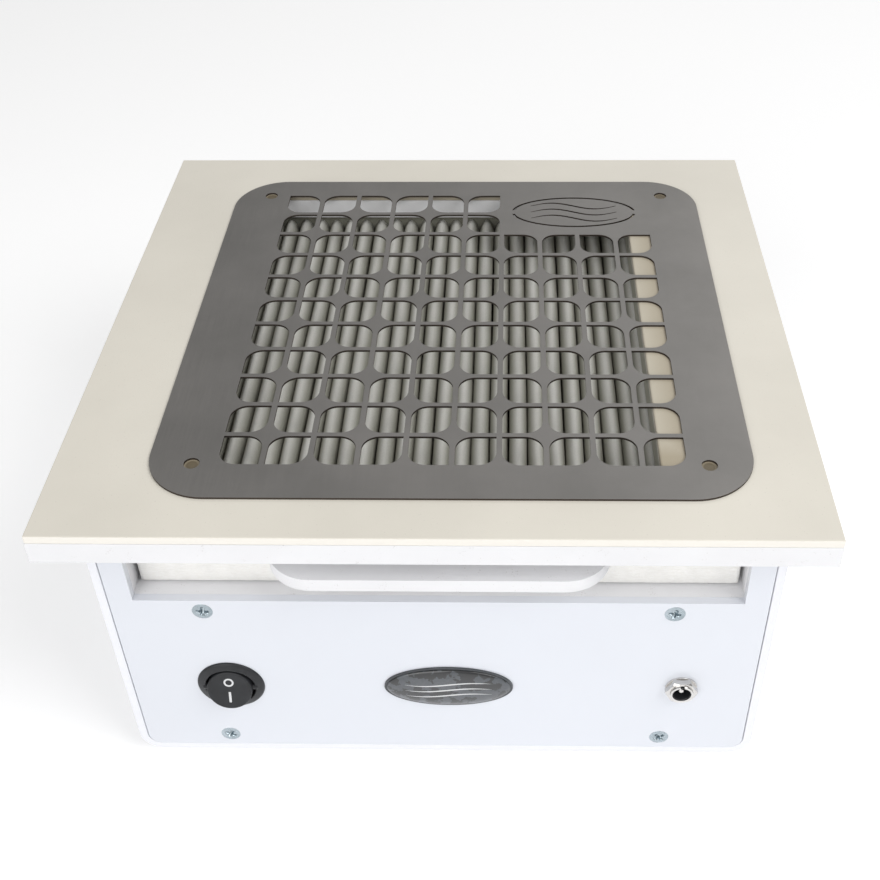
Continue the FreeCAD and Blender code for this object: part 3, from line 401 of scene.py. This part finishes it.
print("stage: materials")
creamAcrylic = makeCreamAcrylic()
foamBoard = makeFoamBoard()
stainless = makeMatteStainless()
filterPaper = makeFilterPaper()
felt = makeFelt()
# pressed gloss acrylic: cool white, clear reflections, a trace of waviness from the press
glossPanel = makeGrained("glossWhiteAcrylicSheet", "#D4D7DE", "#D8DBE2", 0.16, 0.24, 60.0, 0.00003, IOR=1.49,
                         Coat_Weight=0.35, Coat_Roughness=0.04)
# heat-bent PVC sheet: softer gloss than the panel, fine orange peel
bentSheet = makeGrained("bentWhitePvcSheet", "#E3E4E9", "#E6E7EC", 0.30, 0.38, 700.0, 0.00004, IOR=1.53)
# injection moulded nylon: spark texture of the mould, drawn 0.35 mm apart to show
blackNylon = makeGrained("satinBlackNylonMoulding", "#242527", "#2C2D30", 0.36, 0.5, 2800.0, 0.00002,
                         IOR=1.53, Specular_IOR_Level=0.28)
fanNylon = makeGrained("glassFilledNylonMoulding", "#1B1C1D", "#26272A", 0.5, 0.65, 2800.0, 0.00002, IOR=1.53)
# plated and turned metals: tone and roughness vary a little with plating and handling
nickel = makeGrained("brightNickelPlate", "#C9C7C4", "#DAD8D6", 0.12, 0.22, 1200.0, 0.000004, Metallic=1.0)
zinc = makeGrained("zincPlatedSteel", "#9AA6AC", "#B4BEC4", 0.22, 0.36, 1800.0, 0.000004, Metallic=1.0)
turnedSteel = makeGrained("turnedSteel", "#8C8C8D", "#A2A2A3", 0.25, 0.4, 1200.0, 0.000004, Metallic=1.0)
castAluminium = makeGrained("dieCastAluminium", "#A5A6A8", "#B6B7B9", 0.45, 0.6, 500.0, 0.00002, Metallic=1.0)
tinnedBrass = makeGrained("tinnedBrass", "#B8B2A2", "#CBC5B5", 0.3, 0.45, 1200.0, 0.000004, Metallic=1.0)
copper = makeGrained("enamelledCopperWire", "#9C5426", "#B9693A", 0.25, 0.4, 2500.0, 0.00003, Metallic=1.0)
# stamped, pressed, moulded and printed parts: small mottled variation
laminations = makeGrained("coatedLaminations", "#3B3C40", "#4A4B50", 0.45, 0.6, 2000.0, 0.00002, IOR=1.5)
ferrite = makeGrained("sinteredFerrite", "#2B2928", "#383533", 0.6, 0.75, 600.0, 0.00002, IOR=1.5)
rubber = makeGrained("mouldedBlackRubber", "#181818", "#242424", 0.7, 0.85, 600.0, 0.00002, IOR=1.5)
whitePrint = makeGrained("padPrintedWhiteInk", "#C9CACB", "#D6D7D8", 0.4, 0.5, 600.0, 0.00001, IOR=1.5)
redWire = makeGrained("redPvcInsulation", "#8E1712", "#A51E17", 0.35, 0.45, 600.0, 0.00002, IOR=1.5)
blackWire = makeGrained("blackPvcInsulation", "#141414", "#1E1E1E", 0.35, 0.45, 600.0, 0.00002, IOR=1.5)
badgeFilm = makeGrained("printedBadgeFilm", "#3A3D40", "#45484B", 0.3, 0.4, 600.0, 0.00001, IOR=1.5)
badgeLow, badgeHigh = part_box("badge_dome")
badgeResin = makeBadgeResin(tuple((badgeLow + badgeHigh) / 2.0))

finishes = {
    "grille": stainless, "top_skin": creamAcrylic, "top_core": foamBoard, "top_screws": zinc,
    "case_shell": bentSheet, "front_panel": glossPanel, "rear_panel": bentSheet, "front_screws": zinc,
    "rear_screws": zinc, "base_board": foamBoard, "shelf_board": foamBoard, "rail_left": foamBoard,
    "rail_right": foamBoard, "back_stop": foamBoard, "feet": rubber, "foot_screws": zinc,
    "filter_frame": felt, "filter_media": filterPaper, "filter_tab": foamBoard, "switch_body": blackNylon,
    "switch_rocker": blackNylon, "switch_marks": whitePrint, "switch_terminals": tinnedBrass,
    "badge_base": badgeFilm, "badge_dome": badgeResin, "jack_body": nickel, "jack_liner": blackNylon,
    "jack_pin": nickel, "jack_washer": nickel, "jack_nut": nickel, "jack_lugs": tinnedBrass,
    "inlet_ring": fanNylon, "impeller": fanNylon, "rotor_can": turnedSteel, "rotor_magnets": ferrite,
    "motor_shaft": turnedSteel, "motor_base": castAluminium, "motor_screws": zinc,
    "bearing_lower": turnedSteel, "bearing_upper": turnedSteel, "stator_core": laminations,
    "stator_windings": copper, "lead_feed": redWire, "lead_switched": redWire, "lead_return": blackWire,
}
for nodeName, finish in finishes.items():
    nodeMesh = nodes[nodeName].data
    nodeMesh.materials.clear()
    nodeMesh.materials.append(finish)
print("stage: finishes on", len(finishes), "parts")


# soften the sharp edges of the plain parts that stay

softened = {    # mm
    "top_skin": 0.5, "top_core": 0.12, "case_shell": 0.35, "front_panel": 0.12, "rear_panel": 0.15,
    "filter_tab": 0.45, "rail_left": 0.2, "rail_right": 0.2, "back_stop": 0.2, "base_board": 0.2,
    "jack_nut": 0.18, "jack_washer": 0.1, "jack_body": 0.12, "badge_base": 0.12, "grille": 0.05,
}
for nodeName, width in softened.items():
    softenEdges(nodeName, width)


# filter cassette

pleats = {
    "count": 29,
    "valley": 0.3,        # mm, open gap between neighbouring folds at the floor
    "thickness": 0.5,     # mm
    "tip": (2.85, 4.3),   # mm, half width and height of the arched crest of a fold
    "lean": 0.35,         # mm, how far crests wander sideways
    "leanWaves": ((1.7, 5.0, 0.6), (4.1, 11.0, 0.4)),    # radians per fold, radians along, share
    "sag": 0.35,          # mm, how far crest heights differ
    "sagWave": (2.3, 7.0),    # radians per fold, radians along
    "crestSteps": 12,     # points over one crest
    "wallSteps": 7,       # points down one wall
    "alongSteps": 44,
}


def makePleatedPaper(low, high):
    # every fold goes from (pitch - gap) / 2 at the floor up a straight wall, over the arch x = w cos(a),
    # z = h sin(a)^2, and down the next wall; x gains slow sines along y that grow with height, and crest
    # heights lose one more
    count, wall = pleats["count"], pleats["wallSteps"]
    pad = pleats["thickness"] * mm / 2.0
    pitch = (high.x - low.x - 2.0 * pad) / count
    radius = (pitch - (pleats["valley"] + pleats["thickness"]) * mm) / 2.0
    floor, top = low.z + pad, high.z - pad
    tipWidth, tipHeight = (value * mm for value in pleats["tip"])
    a = np.linspace(np.pi, 0.0, pleats["crestSteps"])
    up = np.linspace(0.0, 1.0, wall, endpoint=False)
    rise, lean = up * (top - tipHeight - floor), radius + up * (tipWidth - radius)
    across = np.concatenate([-lean, tipWidth * np.cos(a), lean[::-1]])
    height = np.concatenate([rise, top - tipHeight - floor + tipHeight * np.sin(a) ** 2, rise[::-1]])
    fold = np.repeat(np.arange(count), len(across))[:, None]
    across, height = np.tile(across, count)[:, None], np.tile(height, count)[:, None]
    share = height / (top - floor)
    v = np.linspace(0.0, 1.0, pleats["alongSteps"] + 1)[None, :]
    wander = sum(np.sin(perFold * fold + along * v) * part for perFold, along, part in pleats["leanWaves"])
    hold = ((fold > 0) & (fold < count - 1)) * share ** 2
    x = low.x + pad + pitch * (fold + 0.5) + across + pleats["lean"] * mm * wander * hold
    y = low.y + (high.y - low.y) * v + 0.0 * x
    perFold, along = pleats["sagWave"]
    z = floor + height - pleats["sag"] * mm * share * (0.5 + 0.5 * np.sin(perFold * fold + along * v))
    paper = gridObject("pleatedPaper", [np.stack([x, y, z], axis=-1)], "filter")
    solid = paper.modifiers.new("thickness", "SOLIDIFY")
    solid.thickness = pleats["thickness"] * mm
    solid.offset = 0.0
    return paper


feltFrame = {
    "barWidth": 4.0,      # mm, front and back bars
    "sideWidth": 3.0,     # mm
    "edge": 0.8,          # mm, roundness of the cut felt edges
    "fuzz": 0.07,         # mm, how far the matted face is uneven
    "flatness": 7,        # power that makes the direction of the fuzz follow the flat sides
    "step": 1.2,          # mm between rings along a bar
}


def roundedSection(width, height, radius, arcSteps=4, sideSteps=9):
    # closed outline (p, q) of a rounded rectangle: four quarter circles joined by evenly divided straight
    # sides
    t = np.linspace(0.0, np.pi / 2.0, arcSteps)
    arc = np.stack([np.cos(t), np.sin(t)], axis=-1) * radius
    middle = np.array([width / 2.0 - radius, height / 2.0 - radius])
    side = np.linspace(1.0, -1.0, sideSteps + 2)[1:-1, None]
    turnLeft = np.array([[0.0, 1.0], [-1.0, 0.0]])
    parts = []
    for quarter in range(4):
        spin = np.linalg.matrix_power(turnLeft, quarter)
        reach = middle if quarter % 2 == 0 else middle[::-1]
        parts.append((arc + reach) @ spin)
        start = (np.array([0.0, radius]) + reach) @ spin
        end = (np.array([0.0, radius]) + reach * (-1.0, 1.0)) @ spin
        parts.append((start + end) / 2.0 + (start - end) / 2.0 * side)
    return np.concatenate(parts)


def feltBar(low, high, along, seed):
    # a rounded section carried along X or Y between two corners, ends closed; each point moves in by
    # smoothed random fuzz along n = (p / a)^7, (q / b)^7 made unit, which is the outline's own normal on
    # its flat sides
    step = feltFrame["step"] * mm
    size = high - low
    count = int(size[along] / step) + 1
    section = roundedSection(size[1 - along], size[2], feltFrame["edge"] * mm)
    length = np.linspace(low[along], high[along], count)
    rng = np.random.default_rng(seed)
    bumps = rng.normal(size=(count, len(section)))
    bumps = (bumps + np.roll(bumps, 1, 0) + np.roll(bumps, 1, 1) + np.roll(bumps, (1, 1), (0, 1))) / 4.0
    outward = (section / np.array([size[1 - along], size[2]]) * 2.0) ** feltFrame["flatness"]
    outward = outward / np.linalg.norm(outward, axis=1, keepdims=True)
    rings = section[None, :, :] - feltFrame["fuzz"] * mm * np.abs(bumps)[:, :, None] * outward[None, :, :]
    ends = np.zeros((1,) + section.shape)
    rings = np.concatenate([ends, rings, ends])
    length = np.concatenate([length[:1], length, length[-1:]])
    middle = (low + high) / 2.0
    points = np.empty(rings.shape[:2] + (3,))
    points[..., along] = length[:, None]
    points[..., 1 - along] = middle[1 - along] + rings[..., 0]
    points[..., 2] = middle[2] + rings[..., 1]
    return points


def makeFeltFrame():
    # front and back bars over the whole width, and the two side bars between them
    low, high = (np.array(corner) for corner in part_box("filter_frame"))
    bar, side = feltFrame["barWidth"] * mm, feltFrame["sideWidth"] * mm
    front, rear = low[1] + bar, high[1] - bar
    grids = [
        feltBar(low, np.array([high[0], front, high[2]]), 0, 1),
        feltBar(np.array([low[0], rear, low[2]]), high, 0, 2),
        feltBar(np.array([low[0], front, low[2]]), np.array([low[0] + side, rear, high[2]]), 1, 3),
        feltBar(np.array([high[0] - side, front, low[2]]), np.array([high[0], rear, high[2]]), 1, 4),
    ]
    return gridObject("feltFrame", grids, "filter", closeV=True)


pleatedPaper = makePleatedPaper(*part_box("filter_media"))
standsFor(pleatedPaper, filterPaper, "filter_paper", "filter_media")
feltBars = makeFeltFrame()
standsFor(feltBars, felt, "filter_frame", "filter_frame")
print("stage: filter cassette")


# rocker switch

switch = {
    "tilt": 14.0,         # degrees, upper half pressed in
    "face": 3.0,          # mm from the pivot to the front of the rocker
    "dish": 0.3,          # mm, how far the middle of the face is hollowed
    "dishRadius": 7.2,    # mm
    "dishShare": 0.98,    # how far out the rings of the hollow go, before the rounded rim
    "dishSteps": 8,
    "trunnion": (1.2, 9.5),         # mm, radius and reach each way
    "trunnionSteps": 24,
    "ring": (3.4, 1.45, 0.66),      # mm above the middle, mean radius, line width
    "ringSteps": 48,
    "bar": (-2.9, 4.4, 0.85),       # mm above the middle, length, width
    "barSteps": 9,
    "ink": 0.10,          # mm, thickness of the printed marks
    "inkEdge": 0.3,       # share of the ink's thickness that its edges round off
}
# pairs of radius and depth behind the panel's face or the pivot, in mm
bezelProfile = [(0.0, 7.8), (8.6, 7.8), (8.75, 7.6), (8.75, -1.15), (8.82, -1.38), (9.0, -1.5),
                (9.25, -1.45), (9.8, -1.3), (10.8, -1.0), (11.35, -0.78), (11.65, -0.5), (11.8, -0.2),
                (11.8, 0.0), (9.9, 0.0), (9.9, 19.6), (9.5, 20.0), (0.0, 20.0)]
rockerProfile = [(7.2, -3.0), (7.5, -2.97), (7.72, -2.86), (7.86, -2.68), (7.9, -2.4), (7.9, 2.6),
                 (7.6, 3.6), (6.9, 5.0), (0.0, 5.0)]
switchPivot = np.array(joints["rocker_tilt"]["pos_m"])


def dishedFace(x, z):
    # y of the hollowed face: y = -face + dish (1 - (r / R)^2) inside radius R
    share = np.clip(np.hypot(x, z) / (switch["dishRadius"] * mm), 0.0, 1.0)
    return -switch["face"] * mm + switch["dish"] * mm * (1.0 - share ** 2)


def makeRocker():
    # the profile turned about Y, and a rod of radius R along X through the pivot: (x, R cos t, R sin t),
    # both tilted
    r = np.linspace(0.0, switch["dishRadius"] * switch["dishShare"], switch["dishSteps"])
    hollow = [(radius, float(dishedFace(radius * mm, 0.0)) / mm) for radius in r]
    disc = turned(hollow + rockerProfile, switchPivot)
    radius, reach = (value * mm for value in switch["trunnion"])
    t = np.linspace(0.0, 2.0 * np.pi, switch["trunnionSteps"], endpoint=False)[None, :]
    x = np.array([-reach, -reach, reach, reach])[:, None] + 0.0 * t
    rod = radius * np.array([0.0, 1.0, 1.0, 0.0])[:, None]
    pin = np.stack([x, rod * np.cos(t), rod * np.sin(t)], axis=-1) + switchPivot
    grids = [tiltAboutX(points, switchPivot, -switch["tilt"]) for points in (disc, pin)]
    return gridObject("rockerDisc", grids, "rocker", closeV=True)


def inkOnFace(x, z, raised):
    # points laid on the hollowed face, raised outwards, then tilted with the rocker
    points = np.stack([x, dishedFace(x, z) - raised, z], axis=-1) + switchPivot
    return tiltAboutX(points, switchPivot, -switch["tilt"])


def makeMarks():
    # a ring (r cos t, r sin t) and an upright bar, each with a rounded section of ink, closed at the
    # bar's ends
    section = roundedSection(1.0, 1.0, switch["inkEdge"], 3, 1)
    up, mean, line = (value * mm for value in switch["ring"])
    t = np.linspace(0.0, 2.0 * np.pi, switch["ringSteps"], endpoint=False)[:, None]
    r = mean + line * section[None, :, 0]
    ring = inkOnFace(r * np.cos(t), up + r * np.sin(t), switch["ink"] * mm * section[None, :, 1] + 0.0 * t)
    up, length, line = (value * mm for value in switch["bar"])
    s = np.concatenate([[-0.5], np.linspace(-0.5, 0.5, switch["barSteps"]), [0.5]])[:, None]
    size = np.array([0.0] + [1.0] * switch["barSteps"] + [0.0])[:, None]
    bar = inkOnFace(line * size * section[None, :, 0], up + length * s + 0.0 * section[None, :, 0],
                    switch["ink"] * mm * size * section[None, :, 1])
    return gridObject("rockerMarks", [np.concatenate([ring, ring[:1]]), bar], "rocker", closeV=True)


bezelCentre = (switchPivot[0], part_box("front_panel")[0].y, switchPivot[2])
bezel = gridObject("switchBezel", [turned(bezelProfile, bezelCentre)], "case", closeV=True)
standsFor(bezel, blackNylon, "switch_black", "switch_body")
standsFor(makeRocker(), blackNylon, "switch_black", "switch_rocker")
standsFor(makeMarks(), whitePrint, "white_mark", "switch_marks")
print("stage: rocker switch")


# domed badge

badge = {
    "height": 1.5,        # mm
    "power": 4.0,         # how flat the crown and how tight the rim
    "rings": 14,
    "steps": 128,
}


def makeBadgeDome(low, high):
    # oval drop: x = a r cos t, z = b r sin t, y = foot - height (1 - r^power)^0.5 for r from 0 to 1,
    # closed by a flat back
    middle, half = (low + high) / 2.0, (high - low) / 2.0
    r = np.sin(np.linspace(0.0, np.pi / 2.0, badge["rings"]))[:, None]
    t = np.linspace(0.0, 2.0 * np.pi, badge["steps"], endpoint=False)[None, :]
    lift = badge["height"] * mm * (1.0 - r ** badge["power"]) ** 0.5
    r, lift = np.concatenate([r, [[0.0]]]), np.concatenate([lift, [[0.0]]])
    x, z = middle.x + half.x * r * np.cos(t), middle.z + half.z * r * np.sin(t)
    return gridObject("badgeDome", [np.stack([x, high.y - lift + 0.0 * t, z], axis=-1)], "case", closeV=True)


standsFor(makeBadgeDome(badgeLow, badgeHigh), badgeResin, "badge_dome", "badge_dome")
print("stage: badge")


# panel screws

screw = {
    "headRadius": 3.5,    # mm
    "crown": 0.35,        # mm, how far the oval head stands proud
    "recess": 2.1,        # mm, depth of the cross
    "wing": 0.42,         # mm, half width of a wing
    "wingReach": 2.15,    # mm
    "sideSlope": 0.25,    # mm, width of the sloping sides of a wing
    "endSlope": 0.3,      # mm, length of the sloping end of a wing
    "taper": 0.6,         # how much shallower a wing is at its end
    "steps": 64,
}
# mm, rings over the head, closer together where the cross is; then radius and depth down the shank
headRings = [0.0, 0.2, 0.4, 0.55, 0.7, 0.9, 1.15, 1.4, 1.65, 1.9, 2.1, 2.25, 2.6, 3.0, 3.3, 3.46]
screwTail = [(3.5, 0.12), (1.6, 1.9), (1.6, 13.4), (1.0, 14.0), (0.0, 14.0)]


def screwGrid(centre, facing, turn):
    # oval countersunk head and shank turned about Y; the face sinks by the cross recess: depth falls
    # along each wing and rises over the slopes at its sides and end
    r = np.array(headRings)[:, None]
    t = np.linspace(0.0, 2.0 * np.pi, screw["steps"], endpoint=False)[None, :]
    a, b = np.abs(r * np.cos(t + turn)), np.abs(r * np.sin(t + turn))
    sideSlope = screw["sideSlope"]
    wing = np.clip((screw["wing"] + sideSlope - np.minimum(a, b)) / sideSlope, 0.0, 1.0)
    reach = np.clip((screw["wingReach"] - r) / screw["endSlope"], 0.0, 1.0)
    crown = -screw["crown"] * (1.0 - (r / screw["headRadius"]) ** 2)
    face = crown + screw["recess"] * wing * reach * (1.0 - screw["taper"] * r / screw["wingReach"])
    tail = np.array(screwTail)
    r = np.concatenate([r, tail[:, :1]]) * mm
    y = np.concatenate([face, tail[:, 1:] + 0.0 * t]) * mm
    return np.stack([centre[0] + r * np.cos(t), centre[1] + facing * y, centre[2] + r * np.sin(t)], axis=-1)


def makeScrews(name, nodeName, facing, turns):
    # four screws at the corners of the plain ones' box, each turned by its own angle in radians
    low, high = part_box(nodeName)
    inset = screw["headRadius"] * mm
    y = low.y if facing > 0 else high.y
    places = [(x, y, z) for x in (low.x + inset, high.x - inset) for z in (low.z + inset, high.z - inset)]
    grids = [screwGrid(place, facing, turn) for place, turn in zip(places, turns)]
    return gridObject(name, grids, "case", closeV=True)


frontScrews = makeScrews("frontScrews", "front_screws", 1.0, (0.5, 0.1, 0.9, 0.25))
standsFor(frontScrews, zinc, "zinc_screw", "front_screws")
rearScrews = makeScrews("rearScrews", "rear_screws", -1.0, (0.2, 0.7, 0.4, 1.1))
standsFor(rearScrews, zinc, "zinc_screw", "rear_screws")
print("stage: panel screws")


# camera, light and floor

view = {
    "place": (23.326, -381.195, 389.687),    # mm
    "right": (0.999827, 0.016185, -0.009127),
    "up": (-0.003347, 0.640046, 0.768330),
    "sensor": 36.0,       # mm
    "lens": 50.175,       # mm
    "shift": (-0.05267, -0.02515),
    "clip": (0.01, 20.0),                    # m
}

cameraData = bpy.data.cameras.new("camera")
camera = bpy.data.objects.new("camera", cameraData)
bpy.context.scene.collection.objects.link(camera)
right, up = Vector(view["right"]).normalized(), Vector(view["up"]).normalized()
back = right.cross(up)
turn = Matrix((right, up, back)).transposed().to_4x4()
camera.matrix_world = Matrix.Translation(Vector(view["place"]) * mm) @ turn
cameraData.sensor_width = view["sensor"]
cameraData.lens = view["lens"]
cameraData.shift_x, cameraData.shift_y = view["shift"]
cameraData.clip_start, cameraData.clip_end = view["clip"]
cameraData.dof.use_dof = False
bpy.context.scene.camera = camera

studio = {
    "world": ("#FFFFFF", 0.41),
    "softboxes": [                                    # place, aim, size in metres, watts
        ((-0.6, -1.4, 0.85), (0.0, -0.1, 0.08), 1.2, 12.0),
        ((0.8, -0.55, 1.1), (0.0, 0.0, 0.1), 0.8, 8.6),
        ((0.6, 1.25, 1.2), (0.0, 0.0, 0.1), 1.0, 3.6),
    ],
    "floor": ("#FAFAFA", 0.22),                       # colour, and how much it glows
    "floorReach": 6.0,                                # m from the middle to its edges
}

world = bpy.data.worlds.new("studio")
world.use_nodes = True
world.node_tree.nodes["Background"].inputs["Color"].default_value = hexColour(studio["world"][0])
world.node_tree.nodes["Background"].inputs["Strength"].default_value = studio["world"][1]
bpy.context.scene.world = world
for index, (place, aim, size, watts) in enumerate(studio["softboxes"]):
    lightData = bpy.data.lights.new("softbox%d" % index, "AREA")
    lightData.shape, lightData.size, lightData.energy = "SQUARE", size, watts
    light = bpy.data.objects.new("softbox%d" % index, lightData)
    light.location = place
    light.rotation_mode = "QUATERNION"
    light.rotation_quaternion = (Vector(aim) - Vector(place)).to_track_quat("-Z", "Y")
    bpy.context.scene.collection.objects.link(light)

floorMesh = bpy.data.meshes.new("floor")
reach = studio["floorReach"]
corners = [(-reach, -reach, 0.0), (reach, -reach, 0.0), (reach, reach, 0.0), (-reach, reach, 0.0)]
floorMesh.from_pydata(corners, [], [(0, 1, 2, 3)])
floor = bpy.data.objects.new("floor", floorMesh)
bpy.context.scene.collection.objects.link(floor)
floorColour, floorGlow = studio["floor"]
paint = makeGrained("paleStudioFloor", floorColour, floorColour, 0.8, 0.9, 4.0, 0.00001,
                    Emission_Color=(1.0, 1.0, 1.0, 1.0), Emission_Strength=floorGlow)
floorMesh.materials.append(paint)
bpy.context.scene.view_settings.view_transform = "Standard"
print("stage: camera, light and floor")
